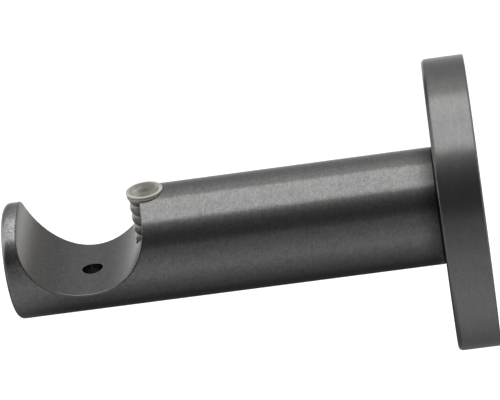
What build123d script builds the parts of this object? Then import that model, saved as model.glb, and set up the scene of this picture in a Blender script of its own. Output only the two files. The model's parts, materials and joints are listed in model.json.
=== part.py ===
"""Curtain pole bracket: a round arm with a saddle for the pole, on a wall rose.

The wall is the plane Y = 0 and +Y points into it. The arm runs out along -Y,
the pole lies along X in the saddle, and +Z is up. The origin is the middle of
the rose's back. All sizes are in millimetres.
"""
import os
from math import sqrt

from build123d import *

os.makedirs("parts", exist_ok=True)

# Pole and the saddle that holds it
pole_diameter = 25.0
saddle_clearance = 0.85  # room round the pole, on the radius
mouth_clearance = 0.8  # room beside the pole as it drops in, on the width
lip_thickness = 3.3  # metal between the saddle and the free end, at its thinnest
saddle_edge_radius = 0.25
floor_hole_diameter = 4.5  # lets a 4 mm screw reach the pole from below

# Arm
arm_diameter = 25.0
arm_length = 92.0
arm_end_radius = 1.3
arm_root_radius = 0.5

# Wall rose
rose_diameter = 62.0
rose_thickness = 9.0
rose_front_wall = 3.5
rose_rim_wall = 4.0
rose_edge_radius = 1.0
rose_back_radius = 0.4

# Wall plate inside the rose
plate_clearance = 0.3  # between its rim and the rose
plate_thickness = 5.0
plate_lead_in = 0.5
groove_depth = 1.2
plate_centre_hole = 14.0  # shows the head of the joining screw
wall_screw_hole = 4.8
wall_screw_head = 9.4
wall_screw_spacing = 36.0

# Machine screws and their threads
thread_clearance = 0.05  # on the radius, between a screw and its thread
joining_screw_diameter = 6.0
joining_screw_head = 12.0  # where the head's cone would meet the surface
joining_screw_length = 16.0
joining_screw_land = 0.2
joining_socket = 4.0
joining_socket_depth = 1.9
through_clearance = 0.1  # on the radius, in a hole without a thread
thread_run_out = 2.0
grub_diameter = 4.0
grub_socket = 2.0
grub_socket_depth = 2.0
grub_recess = 0.3  # how far the screw sits inside the rose's rim
grub_gap = 0.2  # between the point and the bottom of the groove

# Plastic plug beside the pole
plug_inset = 0.8  # how far its axis lies behind the saddle's wall
plug_seat_depth = 1.0  # how far its head is let into the arm
plug_clearance = 0.05  # on the radius
plug_head_diameter = 7.9  # across the rim of its cup
plug_seat_diameter = 7.7  # across the head where it rests
plug_head_height = 1.3
plug_lip_width = 0.6
plug_cup_floor = 4.0  # diameter where the cup's wall meets its floor
plug_cup_depth = 2.0
plug_flare_height = 1.2
plug_bead_diameter = 7.4
plug_groove_depth = 0.55
plug_bead_pitch = 2.35
plug_bead_count = 4
plug_hole_run_out = 0.6  # empty hole below the plug

# Places that follow from the sizes
arm_radius = arm_diameter / 2
arm_root_y = -rose_thickness
arm_end_y = arm_root_y - arm_length
saddle_radius = pole_diameter / 2 + saddle_clearance
mouth_half_width = (pole_diameter + mouth_clearance) / 2
saddle_y = arm_end_y + lip_thickness + saddle_radius
saddle_z = arm_radius - sqrt(saddle_radius**2 - mouth_half_width**2)

plug_y = saddle_y + saddle_radius + plug_inset
plug_seat_z = arm_radius - plug_seat_depth
plug_neck_z = plug_seat_z - plug_flare_height
plug_end_z = plug_neck_z - plug_bead_count * plug_bead_pitch
plug_hole_radius = plug_bead_diameter / 2 + plug_clearance

rose_radius = rose_diameter / 2
recess_radius = rose_radius - rose_rim_wall
recess_depth = rose_thickness - rose_front_wall
plate_radius = recess_radius - plate_clearance
groove_y = -plate_thickness / 2
grub_tip_z = -(plate_radius - groove_depth + grub_gap)
grub_end_z = -(rose_radius - grub_recess)

from_wall = Plane(origin=(0, 0, 0), x_dir=(1, 0, 0), z_dir=(0, -1, 0))
recess_floor = Plane(origin=(0, -recess_depth, 0), x_dir=(1, 0, 0), z_dir=(0, 1, 0))


# Arm: a solid bar, bored across for the pole
with BuildPart() as arm:
    with BuildSketch(from_wall.offset(rose_thickness)):
        Circle(arm_radius)
    extrude(amount=arm_length)
    fillet(arm.faces().sort_by(Axis.Y)[0].edges(), arm_end_radius)
    fillet(arm.faces().sort_by(Axis.Y)[-1].edges(), arm_root_radius)

    # The saddle is a round bore that opens through the top
    with BuildSketch(Plane.YZ):
        with Locations((saddle_y, saddle_z)):
            Circle(saddle_radius)
    extrude(amount=arm_radius, both=True, mode=Mode.SUBTRACT)
    saddle_wall = arm.faces().sort_by_distance((0, saddle_y, saddle_z - saddle_radius))[0]
    fillet(saddle_wall.edges(), saddle_edge_radius)

    # Hole in the saddle's floor
    with Locations((0, saddle_y, 0)):
        Hole(floor_hole_diameter / 2)

    # The plug's hole breaks out through the saddle's wall
    with Locations((0, plug_y, arm_radius)):
        CounterBoreHole(
            radius=plug_hole_radius,
            counter_bore_radius=plug_head_diameter / 2 + plug_clearance,
            counter_bore_depth=plug_seat_depth,
            depth=arm_radius - plug_end_z + plug_hole_run_out,
        )

    # Thread for the joining screw
    with Locations(Plane(origin=(0, arm_root_y, 0), z_dir=(0, 1, 0))):
        Hole(
            joining_screw_diameter / 2 + thread_clearance,
            depth=joining_screw_length - rose_front_wall + thread_run_out,
        )
arm.part.label = "arm"


# Wall rose: a round cover, open towards the wall
with BuildPart() as wall_rose:
    with BuildSketch(from_wall):
        Circle(rose_radius)
    extrude(amount=rose_thickness)
    fillet(wall_rose.faces().sort_by(Axis.Y)[0].edges(), rose_edge_radius)
    fillet(wall_rose.faces().sort_by(Axis.Y)[-1].edges(), rose_back_radius)
    with BuildSketch(from_wall):
        Circle(recess_radius)
    extrude(amount=recess_depth, mode=Mode.SUBTRACT)

    # Seat of the joining screw, in the floor of the recess
    with Locations(recess_floor):
        CounterSinkHole(
            radius=joining_screw_diameter / 2 + through_clearance,
            counter_sink_radius=joining_screw_head / 2 + through_clearance,
            depth=rose_front_wall,
            counter_sink_angle=90,
        )

    # Thread for the grub screw, through the underside of the rim
    with Locations(Plane(origin=(0, groove_y, -rose_radius), z_dir=(0, 0, -1))):
        Hole(grub_diameter / 2 + thread_clearance, depth=rose_radius - plate_radius + groove_depth)
wall_rose.part.label = "wall_rose"


# Wall plate: the disc that is screwed to the wall, with a groove round its rim
with BuildPart() as wall_plate:
    with BuildSketch(Plane.XY):
        with BuildLine():
            Polyline(
                (0, 0),
                (plate_radius, 0),
                (plate_radius, groove_y + groove_depth),
                (plate_radius - groove_depth, groove_y),
                (plate_radius, groove_y - groove_depth),
                (plate_radius, plate_lead_in - plate_thickness),
                (plate_radius - plate_lead_in, -plate_thickness),
                (0, -plate_thickness),
                close=True,
            )
        make_face()
    revolve(axis=Axis.Y)
    with Locations(from_wall.offset(plate_thickness)):
        with GridLocations(wall_screw_spacing, wall_screw_spacing, 1, 2):
            CounterSinkHole(
                radius=wall_screw_hole / 2,
                counter_sink_radius=wall_screw_head / 2,
                depth=plate_thickness,
                counter_sink_angle=90,
            )
        Hole(plate_centre_hole / 2, depth=plate_thickness)
wall_plate.part.label = "wall_plate"


# Joining screw: countersunk, driven from behind through the rose into the arm
with BuildPart() as joining_screw:
    shank_radius = joining_screw_diameter / 2
    head_radius = joining_screw_head / 2 - joining_screw_land
    head_height = head_radius - shank_radius + joining_screw_land
    point_chamfer = joining_screw_diameter / 10
    with BuildSketch(Plane.XY):
        with BuildLine():
            Polyline(
                (0, -recess_depth),
                (head_radius, -recess_depth),
                (head_radius, -recess_depth - joining_screw_land),
                (shank_radius, -recess_depth - head_height),
                (shank_radius, -recess_depth - joining_screw_length + point_chamfer),
                (shank_radius - point_chamfer, -recess_depth - joining_screw_length),
                (0, -recess_depth - joining_screw_length),
                close=True,
            )
        make_face()
    revolve(axis=Axis.Y)
    with BuildSketch(recess_floor):
        RegularPolygon(joining_socket / 2, 6, major_radius=False)
    extrude(amount=-joining_socket_depth, mode=Mode.SUBTRACT)
joining_screw.part.label = "joining_screw"


# Grub screw: its cone point stands in the plate's groove
with BuildPart() as grub_screw:
    grub_radius = grub_diameter / 2
    with BuildSketch(Plane.XZ.offset(-groove_y)):
        with BuildLine():
            Polyline(
                (0, grub_tip_z),
                (grub_radius, grub_tip_z - grub_radius),
                (grub_radius, grub_end_z),
                (0, grub_end_z),
                close=True,
            )
        make_face()
    revolve(axis=Axis((0, groove_y, 0), (0, 0, 1)))
    with BuildSketch(Plane.XY.offset(grub_end_z)):
        with Locations((0, groove_y)):
            RegularPolygon(grub_socket / 2, 6, major_radius=False)
    extrude(amount=grub_socket_depth, mode=Mode.SUBTRACT)
grub_screw.part.label = "grub_screw"


# Plastic plug: a cup for a head, a flare and a stack of rounded beads
with BuildPart() as pole_plug:
    bead_radius = plug_bead_diameter / 2
    groove_radius = bead_radius - plug_groove_depth
    head_outer = plug_head_diameter / 2
    seat_outer = plug_seat_diameter / 2
    lip_radius = plug_lip_width / 2
    lip_z = plug_seat_z + plug_head_height - lip_radius
    head_inner = head_outer - plug_lip_width
    cup_z = plug_seat_z + plug_head_height - plug_cup_depth
    cup_radius = plug_cup_floor / 2
    with BuildSketch(Plane.XZ.offset(-plug_y)):
        with BuildLine():
            Line((0, plug_end_z), (groove_radius, plug_end_z))
            for bead in range(plug_bead_count):
                low = plug_end_z + bead * plug_bead_pitch
                ThreePointArc(
                    (groove_radius, low),
                    (bead_radius, low + plug_bead_pitch / 2),
                    (groove_radius, low + plug_bead_pitch),
                )
            Polyline(
                (groove_radius, plug_neck_z),
                (bead_radius, plug_seat_z),
                (seat_outer, plug_seat_z),
                (head_outer, lip_z),
            )
            ThreePointArc((head_outer, lip_z), (head_outer - lip_radius, lip_z + lip_radius), (head_inner, lip_z))
            Line((head_inner, lip_z), (cup_radius, cup_z))
            Polyline((cup_radius, cup_z), (0, cup_z), (0, plug_end_z))
        make_face()
    revolve(axis=Axis((0, plug_y, 0), (0, 0, 1)))
pole_plug.part.label = "pole_plug"


export_step(arm.part, "parts/arm.step")
export_step(wall_rose.part, "parts/wall_rose.step")
export_step(wall_plate.part, "parts/wall_plate.step")
export_step(joining_screw.part, "parts/joining_screw.step")
export_step(grub_screw.part, "parts/grub_screw.step")
export_step(pole_plug.part, "parts/pole_plug.step")
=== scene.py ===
# %% [markdown]
# A curtain pole bracket in satin gunmetal: a round arm with a saddle bored
# across it for the pole, a wall rose that covers the fixing, and a small
# plastic plug beside the saddle that keeps the pole from rattling.
# The turned metal parts come from the CAD model and are right as they are, so
# Blender gives them their finish. The moulded plug and the small screws are
# modelled here, because they need threads and soft edges that the CAD leaves out.

# %% Load the CAD model
import json
from math import cos, pi, radians, sin, sqrt, tan

import bpy
from mathutils import Matrix, Vector


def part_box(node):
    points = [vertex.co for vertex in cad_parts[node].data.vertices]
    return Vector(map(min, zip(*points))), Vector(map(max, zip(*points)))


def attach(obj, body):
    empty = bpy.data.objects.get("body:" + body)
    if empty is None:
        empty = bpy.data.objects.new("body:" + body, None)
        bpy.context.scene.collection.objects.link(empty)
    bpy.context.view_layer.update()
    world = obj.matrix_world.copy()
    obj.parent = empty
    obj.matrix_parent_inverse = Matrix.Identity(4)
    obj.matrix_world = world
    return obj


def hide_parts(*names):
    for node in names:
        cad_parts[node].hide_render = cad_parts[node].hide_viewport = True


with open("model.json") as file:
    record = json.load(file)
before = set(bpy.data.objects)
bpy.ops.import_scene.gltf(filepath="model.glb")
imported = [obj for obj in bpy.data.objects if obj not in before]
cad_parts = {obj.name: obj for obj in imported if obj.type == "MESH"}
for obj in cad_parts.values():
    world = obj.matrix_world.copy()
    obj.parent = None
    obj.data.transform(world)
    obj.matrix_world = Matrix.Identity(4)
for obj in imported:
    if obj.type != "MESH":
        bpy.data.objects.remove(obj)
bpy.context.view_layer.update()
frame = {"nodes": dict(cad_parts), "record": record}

MM = 0.001
mounts = {mount["name"]: mount for mount in frame["record"]["mounts"]}
saddle_axis = Vector(mounts["pole_saddle"]["pos_m"])
saddle_radius = mounts["pole_saddle"]["dims"]["r_mm"] * MM
saddle_low = saddle_axis.z - saddle_radius
hole_radius = mounts["floor_hole"]["dims"]["r_mm"] * MM
rose_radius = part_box("wall_rose")[1].z
arm_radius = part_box("arm")[1].z
arm_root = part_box("arm")[1].y
print("CAD nodes:", ", ".join(sorted(frame["nodes"])))
print(f"saddle radius {saddle_radius / MM:.2f} mm, arm radius {arm_radius / MM:.2f} mm")

# %% [markdown]
# The camera stands far off with a long lens, which keeps the two circles of the
# rose nearly the same size, as in a catalogue picture. It looks down at the
# arm from the side and is tilted about its own axis, so the arm climbs to the
# right. A camera is easiest to place by angles: one round the object, one above
# the floor, and a roll.

# %% Camera
CAMERA_TURN = radians(5.22)  # past square to the arm, towards the wall
CAMERA_HEIGHT = radians(26.06)
CAMERA_ROLL = radians(9.86)
CAMERA_DISTANCE = 0.5355
LENS = 182.5
LOOK_AT = Vector((0.0, -0.04845, 0.00705))

back = Vector((
    cos(CAMERA_TURN) * cos(CAMERA_HEIGHT),
    sin(CAMERA_TURN) * cos(CAMERA_HEIGHT),
    sin(CAMERA_HEIGHT),
))
level = (-back).cross(Vector((0, 0, 1))).normalized()
upright = level.cross(-back)
right = cos(CAMERA_ROLL) * level - sin(CAMERA_ROLL) * upright
up = sin(CAMERA_ROLL) * level + cos(CAMERA_ROLL) * upright

camera = bpy.data.objects.new("camera", bpy.data.cameras.new("camera"))
bpy.context.scene.collection.objects.link(camera)
bpy.context.scene.camera = camera
camera.data.lens = LENS
camera.data.clip_start = 0.01
camera.data.clip_end = 100
camera.matrix_world = Matrix.Translation(LOOK_AT + CAMERA_DISTANCE * back) @ Matrix(
    (right, up, back)
).transposed().to_4x4()
print("camera at", tuple(round(c, 3) for c in camera.matrix_world.translation))

# %% [markdown]
# A material is a small program made of nodes. Drawn by hand it is a web of
# boxes; written down it reads better as arithmetic. This class wraps one
# socket, so that a sum on wires adds the Math nodes for it. Every other kind
# of node comes from one method, which takes the settings of the node first
# and then the values of its sockets. Two functions go with it: one for the
# distance from an axis, and one that starts an empty material.

# %% Wires that do arithmetic


class Wire:
    """A value on its way through a node tree."""

    def __init__(self, tree, socket=None):
        self.tree = tree
        self.socket = socket

    def node(self, kind, settings=None, inputs=None, output=0):
        made = self.tree.nodes.new(kind)
        for name, value in (settings or {}).items():
            if name == "stops":
                ramp = made.color_ramp.elements
                while len(ramp) < len(value):
                    ramp.new(1.0)
                for element, (place, colour) in zip(ramp, value):
                    element.position = place
                    element.color = (*colour, 1.0)
            else:
                setattr(made, name, value)
        for name, value in (inputs or {}).items():
            if isinstance(value, Wire):
                self.tree.links.new(value.socket, made.inputs[name])
            else:
                made.inputs[name].default_value = value
        return Wire(self.tree, made.outputs[output]) if made.outputs else made

    def math(self, operation, *values):
        return self.node("ShaderNodeMath", {"operation": operation}, dict(enumerate(values)))

    def __add__(self, other):
        return self.math("ADD", self, other)

    def __sub__(self, other):
        return self.math("SUBTRACT", self, other)

    def __mul__(self, other):
        return self.math("MULTIPLY", self, other)

    def __truediv__(self, other):
        return self.math("DIVIDE", self, other)

    def __rsub__(self, other):
        return self.math("SUBTRACT", other, self)

    __radd__ = __add__
    __rmul__ = __mul__

    def ramp(self, low, high):
        """0 below low, 1 above high, and smooth between."""
        return self.node(
            "ShaderNodeMapRange",
            {"interpolation_type": "SMOOTHSTEP"},
            {"Value": self, "From Min": low, "From Max": high},
        )

    def between(self, start, full, fade, stop):
        """0 up to start, 1 from full to fade, and 0 again past stop."""
        return self.ramp(start, full) - self.ramp(fade, stop)

    def parts(self):
        """The X, Y and Z of a direction or a place."""
        return [self.node("ShaderNodeSeparateXYZ", inputs={0: self}, output=axis) for axis in "XYZ"]


def distance(one, other):
    """The long side of a right-angled triangle, from its two short ones."""
    return one.math("SQRT", one * one + other * other)


def new_material(name):
    """A material with an empty node tree, and a wire to start from."""
    material = bpy.data.materials.new(name)
    material.use_nodes = True
    material.node_tree.nodes.clear()
    return material, Wire(material.node_tree)


print("wires add, subtract, multiply and divide")

# %% [markdown]
# The studio comes next, since a metal is mostly what it mirrors. The real
# picture was taken under a wide soft light straight above, with a white room
# behind the bracket and a dim room behind the camera: the bright stripe
# along the arm is the lamp, and the dark stripe below it is the dim room.
# The world is a ramp that runs round the arm's own axis, from straight below
# past the front horizon and over the top to the back. A table of angles and
# brightness is easy to work with, because one row moves one stripe on the
# metal. The lamp is not quite neutral, so its rows have a tint as well.

# %% Brightness round the arm
# degrees above the front horizon, brightness
ROOM_LEVELS = (
    (-90, 0.79), (-78, 0.90), (-66, 0.97), (-50, 0.97), (-36, 0.88), (-24, 0.82), (-12, 0.70), (0, 0.54),
    (12, 0.45), (20, 0.21), (28, 0.16), (42, 0.20), (49, 0.27), (55, 0.42), (61, 0.56), (66, 0.72),
    (70, 1.12), (75, 1.30), (85, 0.98), (92, 0.96), (103, 1.22), (115, 1.25), (130, 1.45), (145, 1.05),
    (160, 1.0), (180, 1.1), (203, 1.05), (210, 0.45), (220, 0.3), (236, 0.45), (254, 0.62), (270, 0.79),
)
WARM = (1.02, 1, 0.95)
ROSY = (1.03, 1, 1.03)
LAMP_TINTS = {70: WARM, 75: WARM, 85: ROSY, 92: ROSY, 103: WARM, 115: (1.01, 1, 0.95)}
SEAM = -90.0  # straight below, where both ends of the table are equally bright
FULL_TURN = 360.0

world = bpy.data.worlds.new("studio room")
bpy.context.scene.world = world
world.use_nodes = True
world.node_tree.nodes.clear()
room = Wire(world.node_tree)
direction = room.node("ShaderNodeTexCoord", output="Generated")
along_x, along_y, along_z = direction.parts()
round_arm = room.math("ARCTAN2", along_z, along_x) * (180 / pi)
# this angle jumps at the back horizon, so the part below it is moved on by one turn
round_arm = round_arm + room.math("LESS_THAN", round_arm, SEAM) * FULL_TURN
level_of_room = room.node(
    "ShaderNodeValToRGB",
    {"stops": [
        ((angle - SEAM) / FULL_TURN, [value * part for part in LAMP_TINTS.get(angle, (1, 1, 1))])
        for angle, value in ROOM_LEVELS
    ]},
    {"Fac": (round_arm - SEAM) / FULL_TURN},
)
print(f"{len(ROOM_LEVELS)} levels round the arm, the brightest {max(value for angle, value in ROOM_LEVELS)}")

# %% [markdown]
# A ramp round the arm can't light what faces along the arm, so a few soft
# patches are added to the ends of the room. Low behind the bracket it is
# brighter to both sides, which lights the two walls of the saddle. A window on
# the left lights the rounded free end, and a glow on the wall's side lights
# the rose's back edge. Each patch is a mask along the arm, and most are held to
# some angles round it as well: the two masks are multiplied. The camera itself
# sees plain white, through a Mix shader.

# %% Side lights
SADDLE_GLOW = 0.9
END_SIDE_SHARE = 0.8  # of that glow, on the free end's side
WINDOW_GLOW = 1.7
WINDOW_MIDDLE = (-0.4, -0.88, 0.2)
WALL_GLOW = 0.35

to_end = along_y * -1.0
low_back = round_arm.between(180.0, 200.0, 208.0, 216.0)
end_back = round_arm.between(154.0, 188.0, 208.0, 216.0)
end_side = to_end.ramp(0.12, 0.42) * end_back * END_SIDE_SHARE
saddle_light = (along_y.ramp(0.05, 0.3) * low_back + end_side) * SADDLE_GLOW
window = to_end.between(0.62, 0.72, 0.88, 0.98) * round_arm.between(60.0, 68.0, 114.0, 122.0)
window_spot = room.node(
    "ShaderNodeVectorMath", {"operation": "DOT_PRODUCT"}, {0: direction, 1: WINDOW_MIDDLE}, output="Value"
)
window_light = (window + window_spot.ramp(0.92, 0.97)) * WINDOW_GLOW
wall_light = along_y.ramp(0.6, 0.9) * WALL_GLOW
side_light = saddle_light + window_light + wall_light
level_of_room = room.node("ShaderNodeVectorMath", inputs={0: level_of_room, 1: side_light})
seen = room.node("ShaderNodeLightPath", output="Is Camera Ray")
room.node("ShaderNodeOutputWorld", inputs={
    "Surface": room.node("ShaderNodeMixShader", inputs={
        0: seen,
        1: room.node("ShaderNodeBackground", inputs={"Color": level_of_room}),
        2: room.node("ShaderNodeBackground", inputs={"Color": (1, 1, 1, 1)}),
    }),
})
bpy.context.scene.view_settings.view_transform = "Standard"
print("world: white to the camera, a studio room to everything else")

# %% [markdown]
# The lamp is one big softbox straight above. Its size against its height sets
# how wide the bright stripe on the arm is, and how soft the shadows are.

# %% Softbox
SOFTBOX_HEIGHT = 1.4
SOFTBOX_HALF_ANGLE = radians(26)
SOFTBOX_LENGTH = 2.6
SOFTBOX_SHIFT = -0.085  # a little behind the arm
SOFTBOX_RADIANCE = 1.75

softbox = bpy.data.objects.new("softbox", bpy.data.lights.new("softbox", "AREA"))
bpy.context.scene.collection.objects.link(softbox)
softbox.data.shape = "RECTANGLE"
softbox.data.size = 2 * SOFTBOX_HEIGHT * tan(SOFTBOX_HALF_ANGLE)
softbox.data.size_y = SOFTBOX_LENGTH
softbox.data.energy = SOFTBOX_RADIANCE * pi * softbox.data.size * softbox.data.size_y
softbox.location = (SOFTBOX_SHIFT, LOOK_AT.y, SOFTBOX_HEIGHT)
softbox.visible_camera = False
print(f"softbox {softbox.data.size:.2f} by {softbox.data.size_y:.2f} m")

# %% [markdown]
# The floor is a pale sweep below the bracket. It is lit by the softbox like
# anything else, so it keeps the shadow, and it glows a little to the camera,
# which lifts it to white without more light on the metal. Mirrors look straight
# through it: for them the lower half of the world is the floor, in the
# brightness that the underside of the arm shows.

# %% Floor
FLOOR_DROP = 0.14
FLOOR_HALF = 12.0
FLOOR_GLOW = 0.3

bpy.ops.object.select_all(action="DESELECT")
bpy.ops.mesh.primitive_plane_add(size=2 * FLOOR_HALF, location=(0, 0, -FLOOR_DROP))
floor = bpy.context.object
floor.name = "floor"
pale, sweep = new_material("pale floor")
kinds = ("Camera", "Glossy", "Transmission")
paths = [sweep.node("ShaderNodeLightPath", output=f"Is {kind} Ray") for kind in kinds]
lift = (paths[0] + paths[1] + paths[2]) * FLOOR_GLOW
sweep.node("ShaderNodeOutputMaterial", inputs={
    "Surface": sweep.node("ShaderNodeAddShader", inputs={
        0: sweep.node("ShaderNodeBsdfDiffuse", inputs={"Color": (0.6, 0.6, 0.6, 1)}),
        1: sweep.node("ShaderNodeEmission", inputs={"Strength": lift}),
    }),
})
floor.data.materials.append(pale)
floor.visible_glossy = False
print(f"floor {FLOOR_DROP / MM:.0f} mm below the arm's axis")

# %% [markdown]
# The arm's underside is darker in the picture than the rose's, although both face the same way: the arm's
# own shadow lay on the surface close below it. This card is a painted reflection of that shade. It is graded
# from back to front and gets thinner towards the free end, which is a little lighter again. Only mirrors see
# it: it throws no shadow and is invisible to the camera.

# %% Card under the arm
CARD_DROP = 0.032
CARD_FRONT = 0.0527
CARD_BACK = -0.028
CARD_END = -0.12
CARD_ROOT = -0.0098
CARD_SOFT_EDGE = 0.001
CARD_THIN_FROM = -0.110
CARD_THIN_TO = -0.091
CARD_THIN_AMOUNT = 0.65
# place from the back edge to the front edge, brightness
CARD_LEVELS = (
    (CARD_BACK, 0.13), (0.0012, 0.14), (0.0071, 0.19), (0.0109, 0.26),
    (0.017, 0.36), (0.0238, 0.46), (0.0352, 0.64), (CARD_FRONT, 0.85),
)

# a painted reflection of the shade below the arm, seen by mirrors only
bpy.ops.object.select_all(action="DESELECT")
bpy.ops.mesh.primitive_plane_add(size=1)
card = bpy.context.object
card.name = "card"
card.scale = (CARD_FRONT - CARD_BACK, CARD_ROOT - CARD_END, 1)
card.location = ((CARD_FRONT + CARD_BACK) / 2, (CARD_ROOT + CARD_END) / 2, -CARD_DROP)
bpy.ops.object.transform_apply(location=True, rotation=True, scale=True)
grey, sheet = new_material("graded painted shade card")
card_x, card_y = sheet.node("ShaderNodeTexCoord", output="Object").parts()[:2]
card_width = CARD_FRONT - CARD_BACK
card_level = sheet.node(
    "ShaderNodeValToRGB",
    {"stops": [((x - CARD_BACK) / card_width, (value,) * 3) for x, value in CARD_LEVELS]},
    {"Fac": (card_x - CARD_BACK) / card_width},
)
thin = (1 - card_y.ramp(CARD_THIN_FROM, CARD_THIN_TO)) * CARD_THIN_AMOUNT
solid = (1 - card_y.ramp(CARD_ROOT - CARD_SOFT_EDGE, CARD_ROOT)) * (1 - thin)
sheet.node("ShaderNodeOutputMaterial", inputs={
    "Surface": sheet.node("ShaderNodeMixShader", inputs={
        0: solid,
        1: sheet.node("ShaderNodeBsdfTransparent"),
        2: sheet.node("ShaderNodeEmission", inputs={"Color": card_level}),
    }),
})
card.data.materials.append(grey)
card.visible_camera = card.visible_diffuse = card.visible_transmission = card.visible_shadow = False
print(f"card {card_width / MM:.0f} mm wide, seen by mirrors only")

# %% [markdown]
# Now the pieces. A round piece is easy to grow by hand: start with a disc,
# then extrude it a little and scale it, again and again, as if it were built
# up ring by ring on a lathe. The disc always closes the top, so the piece is
# closed at every moment. The plug and both screws start this way.

# %% Growing a round piece
UP = Vector((0, 0, 1))
OUT = Vector((0, -1, 0))  # the way the arm points, away from the wall


def pick(piece):
    """Selects one object and nothing else."""
    bpy.ops.object.select_all(action="DESELECT")
    piece.select_set(True)
    bpy.context.view_layer.objects.active = piece


def turned(name, place, along, rings, sides=96):
    """Grows rings of (radius, height) one on another, from a place along a direction."""
    bpy.ops.object.select_all(action="DESELECT")
    radius, height = rings[0]
    bpy.ops.mesh.primitive_circle_add(
        vertices=sides,
        radius=radius,
        fill_type="TRIFAN",
        location=place + height * along,
        rotation=along.to_track_quat("Z", "Y").to_euler(),
    )
    piece = bpy.context.object
    piece.name = name
    bpy.ops.object.mode_set(mode="EDIT")
    for new_radius, new_height in rings[1:]:
        bpy.ops.mesh.extrude_region_move(TRANSFORM_OT_translate={"value": (new_height - height) * along})
        wider = new_radius / radius
        bpy.ops.transform.resize(
            value=[1 if abs(part) > 0.5 else wider for part in along],
            center_override=place + new_height * along,
        )
        radius, height = new_radius, new_height
    bpy.ops.mesh.select_all(action="SELECT")
    bpy.ops.mesh.normals_make_consistent(inside=False)
    bpy.ops.object.mode_set(mode="OBJECT")
    bpy.ops.object.transform_apply(location=True, rotation=True, scale=True)
    return piece


print("round pieces grow along", tuple(UP), "or", tuple(OUT))

# %% [markdown]
# The plug is a soft moulding with a cup for a head, a thin lip that slopes a
# little outwards, a narrow groove below it, and four round beads that squeeze
# into the hole. Its outline is a list of rings, from the bottom up and then
# down into the cup. The beads are arcs, so their rings come from a sine and a
# cosine. The small nub in the cup is where the plastic was let into the mould.

# %% Plug
plug_low, plug_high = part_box("pole_plug")
plug_place = Vector((0, (plug_low.y + plug_high.y) / 2, 0))
rim_radius = (plug_high.x - plug_low.x) / 2
rim_z = plug_high.z
BEAD_COUNT = 4
BEAD_PITCH = 2.35 * MM
BEAD_RADIUS = 3.7 * MM
BEAD_ANGLE = 46  # degrees, from a bead's middle to where its arc stops
BEAD_RINGS = 11
GROOVE_RADIUS = 3.15 * MM
LIP_WIDTH = 0.6 * MM
LIP_DROP = 0.16 * MM  # the lip slopes down to its outer edge
CUP_DEPTH = 2.0 * MM
CUP_FLOOR_RADIUS = 2.0 * MM
# radius and depth below the rim, in mm
HEAD_RINGS = (
    (3.54, 1.95), (3.69, 1.45), (3.70, 1.3), (3.83, 1.3), (3.86, 1.24),
    (3.92, 0.64), (3.90, 0.54), (3.78, 0.48), (3.78, 0.40), (3.92, 0.34),
)
CUP_RINGS = ((2.92, 0.9), (2.62, 1.45), (2.28, 1.84), (2.05, 1.96))


def arc(centre, radius, first, last, count):
    """Rings on an arc; angles in degrees, 0 outwards and 90 up."""
    angles = [radians(first + (last - first) * step / (count - 1)) for step in range(count)]
    return [(centre[0] + radius * cos(angle), centre[1] + radius * sin(angle)) for angle in angles]


def below_rim(rings):
    """Rings of radius and height in metres, from radius and depth in mm."""
    return [(radius * MM, rim_z - depth * MM) for radius, depth in rings]


sag = BEAD_RADIUS - GROOVE_RADIUS
bead_curve = ((BEAD_PITCH / 2) ** 2 + sag**2) / (2 * sag)
plug_rings = [(2.6 * MM, plug_low.z), (2.95 * MM, plug_low.z + 0.08 * MM)]
for bead in range(BEAD_COUNT):
    middle = plug_low.z + (bead + 0.5) * BEAD_PITCH
    plug_rings += arc((BEAD_RADIUS - bead_curve, middle), bead_curve, -BEAD_ANGLE, BEAD_ANGLE, BEAD_RINGS)
    plug_rings.append((GROOVE_RADIUS + 0.02 * MM, middle + BEAD_PITCH / 2))
plug_rings += below_rim(HEAD_RINGS)
plug_rings += [
    (rim_radius, rim_z - LIP_DROP - 0.02 * MM),
    (rim_radius - 0.02 * MM, rim_z - LIP_DROP + 0.04 * MM),
    (rim_radius - 0.08 * MM, rim_z - LIP_DROP + 0.09 * MM),
    (rim_radius - LIP_WIDTH + 0.1 * MM, rim_z - 0.02 * MM),
    (rim_radius - LIP_WIDTH, rim_z),
    (rim_radius - LIP_WIDTH - 0.06 * MM, rim_z - 0.03 * MM),
    (rim_radius - LIP_WIDTH - 0.12 * MM, rim_z - 0.12 * MM),
]
plug_rings += below_rim(CUP_RINGS)
plug_rings += [
    (CUP_FLOOR_RADIUS * 0.9, rim_z - CUP_DEPTH),
    (0.62 * MM, rim_z - CUP_DEPTH),
    (0.5 * MM, rim_z - CUP_DEPTH + 0.16 * MM),
    (0.4 * MM, rim_z - CUP_DEPTH + 0.2 * MM),
]
plug = turned("moulded_plug", plug_place, UP, plug_rings)
plug_length = (rim_z - plug_low.z) / MM
print(f"plug: {len(plug_rings)} rings, {len(plug.data.polygons)} faces, {plug_length:.1f} mm long")

# %% [markdown]
# A screw thread is one tooth swept along a helix. The Screw modifier does the
# sweep: it turns the outline of one tooth round an axis and climbs by the pitch
# in each turn. The tooth is drawn as a chain of points, starting from a plane
# that is merged down to one point. The ends of the helix are then bisected flat,
# and an envelope, grown like any round piece, trims the point of the screw.

# %% Screw thread
THREAD_DEPTH = 0.6134  # of the pitch, as on a metric screw
SPARE_TURNS = 4  # cut off again at both ends


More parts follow.
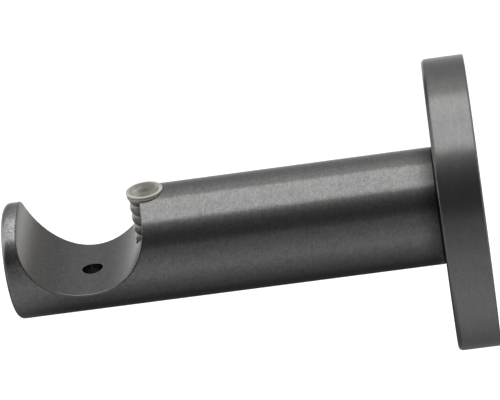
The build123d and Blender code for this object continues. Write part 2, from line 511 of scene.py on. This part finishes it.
def thread(name, place, along, outer, pitch, length, sides=64):
    """A solid helical thread, from a place along a direction."""
    inner = outer - THREAD_DEPTH * pitch
    # how far along the pitch, and at what radius
    tooth = ((0.125, inner), (0.4375, outer), (0.5625, outer), (0.875, inner), (1.0, inner))
    bpy.ops.object.select_all(action="DESELECT")
    bpy.ops.mesh.primitive_plane_add(size=MM, location=(0, 0, 0))
    piece = bpy.context.object
    piece.name = name
    bpy.ops.object.mode_set(mode="EDIT")
    bpy.ops.mesh.merge(type="CENTER")
    bpy.ops.transform.translate(value=(inner, 0, -1.5 * pitch))
    here = Vector((inner, 0, 0))
    for share, radius in tooth:
        there = Vector((radius, 0, share * pitch))
        bpy.ops.mesh.extrude_region_move(TRANSFORM_OT_translate={"value": there - here})
        here = there
    bpy.ops.object.mode_set(mode="OBJECT")
    helix = piece.modifiers.new("helix", "SCREW")
    helix.axis = "Z"
    helix.angle = 2 * pi
    helix.screw_offset = pitch
    helix.iterations = int(length / pitch) + SPARE_TURNS
    helix.steps = helix.render_steps = sides
    bpy.ops.object.modifier_apply(modifier=helix.name)
    piece.location = place
    piece.rotation_euler = along.to_track_quat("Z", "Y").to_euler()
    bpy.ops.object.transform_apply(location=True, rotation=True, scale=True)
    bpy.ops.object.mode_set(mode="EDIT")
    bpy.ops.mesh.select_all(action="SELECT")
    bpy.ops.mesh.remove_doubles(threshold=0.001 * MM)
    for end, way in ((0, -1), (length, 1)):
        bpy.ops.mesh.select_all(action="SELECT")
        bpy.ops.mesh.bisect(
            plane_co=place + end * along,
            plane_no=way * along,
            use_fill=True,
            clear_outer=True,
            threshold=1e-8,
        )
    bpy.ops.mesh.select_all(action="SELECT")
    bpy.ops.mesh.normals_make_consistent(inside=False)
    bpy.ops.object.mode_set(mode="OBJECT")
    return piece


def combine(piece, operation, other):
    """Adds, cuts away or keeps what two solids share, and removes the second."""
    pick(piece)
    change = piece.modifiers.new("change", "BOOLEAN")
    change.operation = operation
    change.object = other
    change.solver = "EXACT"
    bpy.ops.object.modifier_apply(modifier=change.name)
    bpy.data.objects.remove(other)
    # where surfaces touch, the cut can leave a sliver open; merging and filling closes it
    bpy.ops.object.mode_set(mode="EDIT")
    bpy.ops.mesh.select_all(action="SELECT")
    bpy.ops.mesh.remove_doubles(threshold=0.0005 * MM)
    bpy.ops.mesh.fill_holes(sides=6)
    bpy.ops.mesh.select_all(action="SELECT")
    bpy.ops.mesh.normals_make_consistent(inside=False)
    bpy.ops.object.mode_set(mode="OBJECT")


def cut_socket(piece, place, along, across, depth):
    """Cuts a hexagon socket with a drilled cone at its bottom."""
    corner = across / sqrt(3)
    cone = across / 4
    key = turned("key", place, along, [
        (corner, -0.5 * MM),
        (corner, depth),
        (0.15 * MM, depth + cone),
    ], sides=6)
    combine(piece, "DIFFERENCE", key)


print("threads, solids and sockets can be made")

# %% [markdown]
# The joining screw is an M6 countersunk screw, driven from behind through the
# rose into the arm. Its head shows through the hole in the wall plate.

# %% Joining screw
JOINING_RADIUS = 3.0 * MM
JOINING_CORE = 2.1 * MM  # a plain core that the thread is joined to
JOINING_PITCH = 1.0 * MM
PLAY = 0.03 * MM  # takes the thread in from its full size

screw_low, screw_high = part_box("joining_screw")
head_place = Vector((0, screw_high.y, 0))
head_radius = screw_high.x
screw_length = screw_high.y - screw_low.y
joining_screw = turned("threaded_joining_screw", head_place, OUT, [
    (head_radius - 0.15 * MM, 0),
    (head_radius - 0.04 * MM, 0.03 * MM),
    (head_radius, 0.1 * MM),
    (head_radius, 0.2 * MM),
    (JOINING_RADIUS, 3.0 * MM),
    (JOINING_RADIUS, 3.6 * MM),
    (JOINING_CORE, 3.6 * MM),
    (JOINING_CORE, 5.0 * MM),
])
shank = thread(
    "shank", head_place + 3.3 * MM * OUT, OUT, JOINING_RADIUS - PLAY, JOINING_PITCH, screw_length
)
envelope = turned("envelope", head_place, OUT, [
    (3.2 * MM, 3.35 * MM),
    (3.2 * MM, screw_length - 0.75 * MM),
    (2.3 * MM, screw_length),
])
combine(shank, "INTERSECT", envelope)
combine(joining_screw, "UNION", shank)
cut_socket(joining_screw, head_place, OUT, 4.0 * MM, 1.6 * MM)
print(f"joining screw: {len(joining_screw.data.polygons)} faces")

# %% [markdown]
# The grub screw sits in the underside of the rose's rim. Its cone point stands
# in the groove round the wall plate and holds the rose there. It has no head,
# so its whole length is thread, trimmed by an envelope with a cone on it.

# %% Grub screw
GRUB_RADIUS = 2.0 * MM
GRUB_PITCH = 0.7 * MM
SPARE = 0.5 * MM  # extra thread at each end, trimmed off by the envelope

grub_low, grub_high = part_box("grub_screw")
grub_place = Vector((0, (grub_low.y + grub_high.y) / 2, grub_low.z))
grub_length = grub_high.z - grub_low.z
grub_screw = thread(
    "threaded_grub_screw",
    grub_place - SPARE * UP,
    UP,
    GRUB_RADIUS - PLAY,
    GRUB_PITCH,
    grub_length + 2 * SPARE,
)
envelope = turned("envelope", grub_place, UP, [
    (1.55 * MM, 0),
    (1.95 * MM, 0.28 * MM),
    (GRUB_RADIUS, 0.4 * MM),
    (GRUB_RADIUS, grub_length - GRUB_RADIUS),
    (0.2 * MM, grub_length - 0.12 * MM),
])
combine(grub_screw, "INTERSECT", envelope)
cut_socket(grub_screw, grub_place, UP, 2.0 * MM, 1.7 * MM)
print(f"grub screw: {len(grub_screw.data.polygons)} faces")

# %% [markdown]
# Each modelled piece is tied to the body it moves with and stands in for the plain node from the CAD model.
# Smooth shading hides the facets, except where two faces meet at a real edge.

# %% Tie the pieces to the model
SMOOTH_UP_TO = radians(32)  # a sharper turn than this stays an edge

for piece, finish, node in (
    (plug, "clear_plastic", "pole_plug"),
    (joining_screw, "zinc_plated_steel", "joining_screw"),
    (grub_screw, "black_steel", "grub_screw"),
):
    pick(piece)
    bpy.ops.object.shade_smooth_by_angle(angle=SMOOTH_UP_TO)
    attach(piece, "root")
    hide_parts(node)
print("plug and screws stand in for their CAD nodes")

# %% [markdown]
# The finishes come last. All of them end in one Principled shader, vary with a
# soft random pattern and make a colour lighter or darker by what their nodes
# work out, so these three jobs get a short function each.

# %% Helpers for the finishes
def principled(wire, inputs):
    """Ends a material with the Principled shader."""
    return wire.node("ShaderNodeOutputMaterial", inputs={
        "Surface": wire.node("ShaderNodeBsdfPrincipled", inputs=inputs)
    })


def noise(wire, place, scale, detail):
    """A soft random pattern, about 0.5 on average."""
    return wire.node("ShaderNodeTexNoise", inputs={"Vector": place, "Scale": scale, "Detail": detail})


def tinted(wire, colour, amount):
    """A colour made lighter or darker by a number near 1."""
    return wire.node("ShaderNodeVectorMath", {"operation": "SCALE"}, {0: colour, "Scale": amount})


print("finishes can be shaded, varied and tinted")

# %% [markdown]
# The saddle was bored after the arm was turned, so it has a finish of its own. A mask from the distance to
# the bore's axis keeps the arm's hair lines out of it and gives it darker greys from its middle out to its
# two walls: partly its own bored finish, partly painted shade in the hollow. On the free end's side the rim
# is grainier and lighter: grain with painted glints. The wall of the small hole in the floor is made
# lighter.

# %% Finish of the saddle
# darker towards the walls: partly the bored finish, partly painted shade
# mm to the side of the saddle's middle, colour
BORE_FINISH_AND_SHADE = (
    (0.0, (0.0945, 0.095, 0.0945)),
    (4.0, (0.088, 0.089, 0.089)),
    (7.5, (0.0735, 0.0745, 0.0755)),
    (12.0, (0.071, 0.068, 0.062)),
)
HOLE_LIFT = 1.6


def bored_saddle(wire, x, y, z, hair, speckle, shade, colour):
    """Hair lines, shade and colour of a turned metal, changed where the saddle is."""
    beside = y - saddle_axis.y
    from_axis = distance(beside, z - saddle_axis.z)
    outside = from_axis.ramp(saddle_radius + 0.05 * MM, saddle_radius + 0.4 * MM)
    # on the free end's side, a rim of grain with painted glints
    rim_grain_and_glints = outside - from_axis.ramp(saddle_radius + 0.6 * MM, saddle_radius + 2.6 * MM)
    rim_grain_and_glints = rim_grain_and_glints * wire.math("LESS_THAN", beside, 0.0) * z.ramp(1.0 * MM, 6.0 * MM)
    in_hole = 1 - distance(x, beside).ramp(hole_radius, hole_radius + 0.1 * MM)
    in_hole = in_hole * (1 - z.ramp(saddle_low - 0.5 * MM, saddle_low))
    shade = shade + rim_grain_and_glints * ((speckle - 0.35) * 1.6 + 0.1) + in_hole * HOLE_LIFT
    widest = BORE_FINISH_AND_SHADE[-1][0]
    bore = wire.node(
        "ShaderNodeValToRGB",
        {"stops": [(aside / widest, tint) for aside, tint in BORE_FINISH_AND_SHADE]},
        {"Fac": wire.math("ABSOLUTE", beside) / (widest * MM)},
    )
    colour = wire.node(
        "ShaderNodeMix", {"data_type": "RGBA"}, {0: outside, 6: bore, 7: (*colour, 1)}, output=2
    )
    return hair * outside, shade, colour


print(f"saddle: {len(BORE_FINISH_AND_SHADE)} greys from its middle to {BORE_FINISH_AND_SHADE[-1][0]:.0f} mm aside")

# %% [markdown]
# Satin gunmetal. The real parts are turned on a lathe, fine-brushed and then
# plated: a fine speckle all over, faint blotches and clouds in the plating, and
# hair lines that run round each part. A noise that is stretched round the part
# gives such lines. Its coordinates are how far a point is from the arm's axis
# and along it, both fine, and the direction round the axis, coarse: that
# direction is fed in as two numbers, a sine and a cosine, so the lines meet
# without a seam. The same recipe, with other numbers, makes the zinc plate and
# the black oxide.

# %% Turned metal
FINE_LINES = 3200.0  # per metre across the lines
LINE_SPREAD = 5.0  # how many lengths of line fit in one radian
GRAIN_SCALE = 2800.0
BLOTCH_SCALE = 1000.0
CLOUD_SCALE = 300.0
CLOUD_AMOUNT = 0.16
BUMP_HEIGHT = 0.012 * MM


def turned_metal(name, colour, roughness, lines, grain, grazing=0.6, bored=False, painted_shade=None):
    """A metal with hair lines round the Y axis and a speckle, each as strong as its number says.

    A grazing below 1 dims the metal where it is seen at a low angle. With bored the saddle gets its own
    finish, painted shade and painted glints, and the last argument is a function that says where shade is
    painted on the metal, from 0 to 1.
    """
    material, wire = new_material(name)
    place = wire.node("ShaderNodeTexCoord", output="Object")
    x, y, z = place.parts()
    radius = distance(x, z)
    across, around = [part / (radius + 0.0001) * LINE_SPREAD for part in (x, z)]
    track = wire.node("ShaderNodeCombineXYZ", inputs={0: radius * FINE_LINES, 1: y * FINE_LINES, 2: across})
    hair = wire.node(
        "ShaderNodeTexNoise",
        {"noise_dimensions": "4D"},
        {"Vector": track, "W": around, "Scale": 1.0, "Detail": 2.0, "Roughness": 0.6},
    )
    hair = (hair - 0.5) * lines
    speckle = noise(wire, place, GRAIN_SCALE, 1.0)
    blotch = noise(wire, place, BLOTCH_SCALE, 1.0)
    cloud = noise(wire, place, CLOUD_SCALE, 2.0)
    shade = (speckle - 0.5) * grain + (blotch - 0.5) * grain * 0.5 + (cloud - 0.5) * CLOUD_AMOUNT + 1.0
    if bored:
        hair, shade, colour = bored_saddle(wire, x, y, z, hair, speckle, shade, colour)
    shade = shade + hair * 0.5
    # painted shade, where the given function puts it
    if painted_shade:
        shade = shade * (1 - painted_shade(x, y, z, radius))
    height = hair + (speckle - 0.5) * grain * 0.4
    principled(wire, {
        "Base Color": tinted(wire, colour, shade),
        "Metallic": 1.0,
        "Roughness": hair * 0.1 + roughness,
        "Specular Tint": (grazing, grazing, grazing, 1),
        "Normal": wire.node(
            "ShaderNodeBump", inputs={"Height": height, "Distance": BUMP_HEIGHT, "Strength": 1.0}
        ),
    })
    return material


print(f"hair lines about {1000 / FINE_LINES:.1f} mm apart")

# %% [markdown]
# Now each metal goes on its parts. In the picture the arm gets darker just before it meets the rose, and the
# rose has a darker front edge, most of all on top. The studio here is simpler than the real one and doesn't
# give all of that, so two masks paint that shade on: they say how much darker the metal is at a place.

# %% Metals on their parts
GUNMETAL = (0.1185, 0.1183, 0.118)
ZINC = (0.52, 0.53, 0.52)
BLACK_OXIDE = (0.06, 0.06, 0.065)
# how strong the painted shade is, at the arm's root and on the rose's front edge
ROOT_PAINTED_SHADE = 0.6
EDGE_PAINTED_SHADE = 0.62


def arm_root_painted_shade(x, y, z, radius):
    """Painted shade over the last 7 mm of the arm before the rose."""
    near = y.ramp(arm_root - 7 * MM, arm_root - 0.3 * MM)
    return near * near * radius.ramp(arm_radius - 0.5 * MM, arm_radius) * ROOT_PAINTED_SHADE


def rose_edge_painted_shade(x, y, z, radius):
    """Painted shade on the front edge of the rose, a tenth as much where it isn't high up and aside."""
    edge_radius = rose_radius - 0.9 * MM
    near = y.ramp(arm_root + 1.2 * MM, arm_root + 0.5 * MM)
    high = z.ramp(15 * MM, 19 * MM) * x.math("ABSOLUTE", x).ramp(0.0, 5 * MM) * 0.9 + 0.1
    return near * near * radius.ramp(edge_radius - 0.5 * MM, edge_radius) * high * EDGE_PAINTED_SHADE


nodes = frame["nodes"]
nodes["arm"].material_slots[0].material = turned_metal(
    "gunmetal bored", GUNMETAL, roughness=0.21, lines=0.7, grain=0.75, bored=True, painted_shade=arm_root_painted_shade
)
nodes["wall_rose"].material_slots[0].material = turned_metal(
    "gunmetal", GUNMETAL, roughness=0.21, lines=0.5, grain=0.35, painted_shade=rose_edge_painted_shade
)
zinc = turned_metal("zinc plate", ZINC, roughness=0.3, lines=0.8, grain=0.3, grazing=1.0)
nodes["wall_plate"].material_slots[0].material = zinc
joining_screw.data.materials.append(zinc)
black = turned_metal("black oxide", BLACK_OXIDE, roughness=0.4, lines=0.0, grain=0.6)
grub_screw.data.materials.append(black)
print("gunmetal, zinc plate and black oxide are on")

# %% [markdown]
# Milky plastic for the plug. It is a soft clear grade that light enters and leaves again a little further
# on, so it gets subsurface scattering and some transmission, and a faint cloudiness from the moulding. How
# light it looks depends on what lies behind it and on the lamp, and that light and shade are painted on. The
# head is lightest at the front, the cup's far wall has a painted highlight in an arc, and the stem has
# painted shade, most of all where it is buried in the arm. Each such zone is a mask, and a table says how
# much lighter or darker it is.

# %% Milky plastic
PLASTIC = (0.43, 0.42, 0.372)
PLASTIC_LEVEL = 0.52  # outside all the zones
MOULDING_SCALE = 700.0


def plug_painted_light(x, y, z):
    """Masks of painted light and shade on the plug, each with how much lighter or darker it is there."""
    side = y - plug_place.y
    height = z - rim_z
    radius = distance(x, side)
    cup = (1 - radius.ramp(3.2 * MM, 3.26 * MM)) * height.ramp(-2.2 * MM, -2.0 * MM)
    left_of_cup = cup * radius.ramp(1.6 * MM, 2.3 * MM) * (1 - side.ramp(-2.8 * MM, -1.0 * MM))
    far_wall = cup * radius.ramp(2.2 * MM, 2.7 * MM) * (1 - x.ramp(-2.0 * MM, 2.0 * MM))
    painted_glint = height.between(-1.25 * MM, -1.0 * MM, -0.85 * MM, -0.6 * MM)
    head = (1 - cup) * height.ramp(-1.5 * MM, -1.2 * MM)
    return (
        # painted light on the front of the head, and painted shade on its left side
        (head * x.ramp(-4.0 * MM, 2.0 * MM), 0.48),
        (head * (1 - side.ramp(-4.0 * MM, -2.4 * MM)), -0.15),
        # painted light on the cup, its left and its far wall, and a painted glint in an arc on that wall
        (cup, 0.18),
        (left_of_cup, 0.05),
        (far_wall, 0.24),
        (painted_glint * far_wall * (1 - side.ramp(-1.0 * MM, 1.0 * MM)), 0.4),
        # painted shade where it is buried in the arm, and on the whole stem from its lower end up
        (side.ramp(-2.4 * MM, -0.6 * MM) * (1 - z.ramp(arm_radius - 1.3 * MM, arm_radius)), -0.3),
        (1 - z.ramp(plug_low.z, arm_radius), -0.26),
    )


def milky_plastic():
    """A soft clear plastic for the plug, with painted light and shade."""
    material, wire = new_material("milky plastic")
    place = wire.node("ShaderNodeTexCoord", output="Object")
    cloud = noise(wire, place, MOULDING_SCALE, 3.0)
    # the painted light and shade of every zone, added up
    painted_level = PLASTIC_LEVEL
    for mask, amount in plug_painted_light(*place.parts()):
        painted_level = mask * amount + painted_level
    principled(wire, {
        "Base Color": tinted(wire, PLASTIC, painted_level * (cloud * 0.8 + 0.6)),
        "Roughness": cloud * 0.2 + 0.22,
        "Subsurface Weight": 0.2,
        "Subsurface Radius": (1.0, 0.95, 0.85),
        "Subsurface Scale": 0.0006,
        "Transmission Weight": 0.3,
        "IOR": 1.48,
    })
    return material


plug.data.materials.append(milky_plastic())
print("milky plastic on the plug")
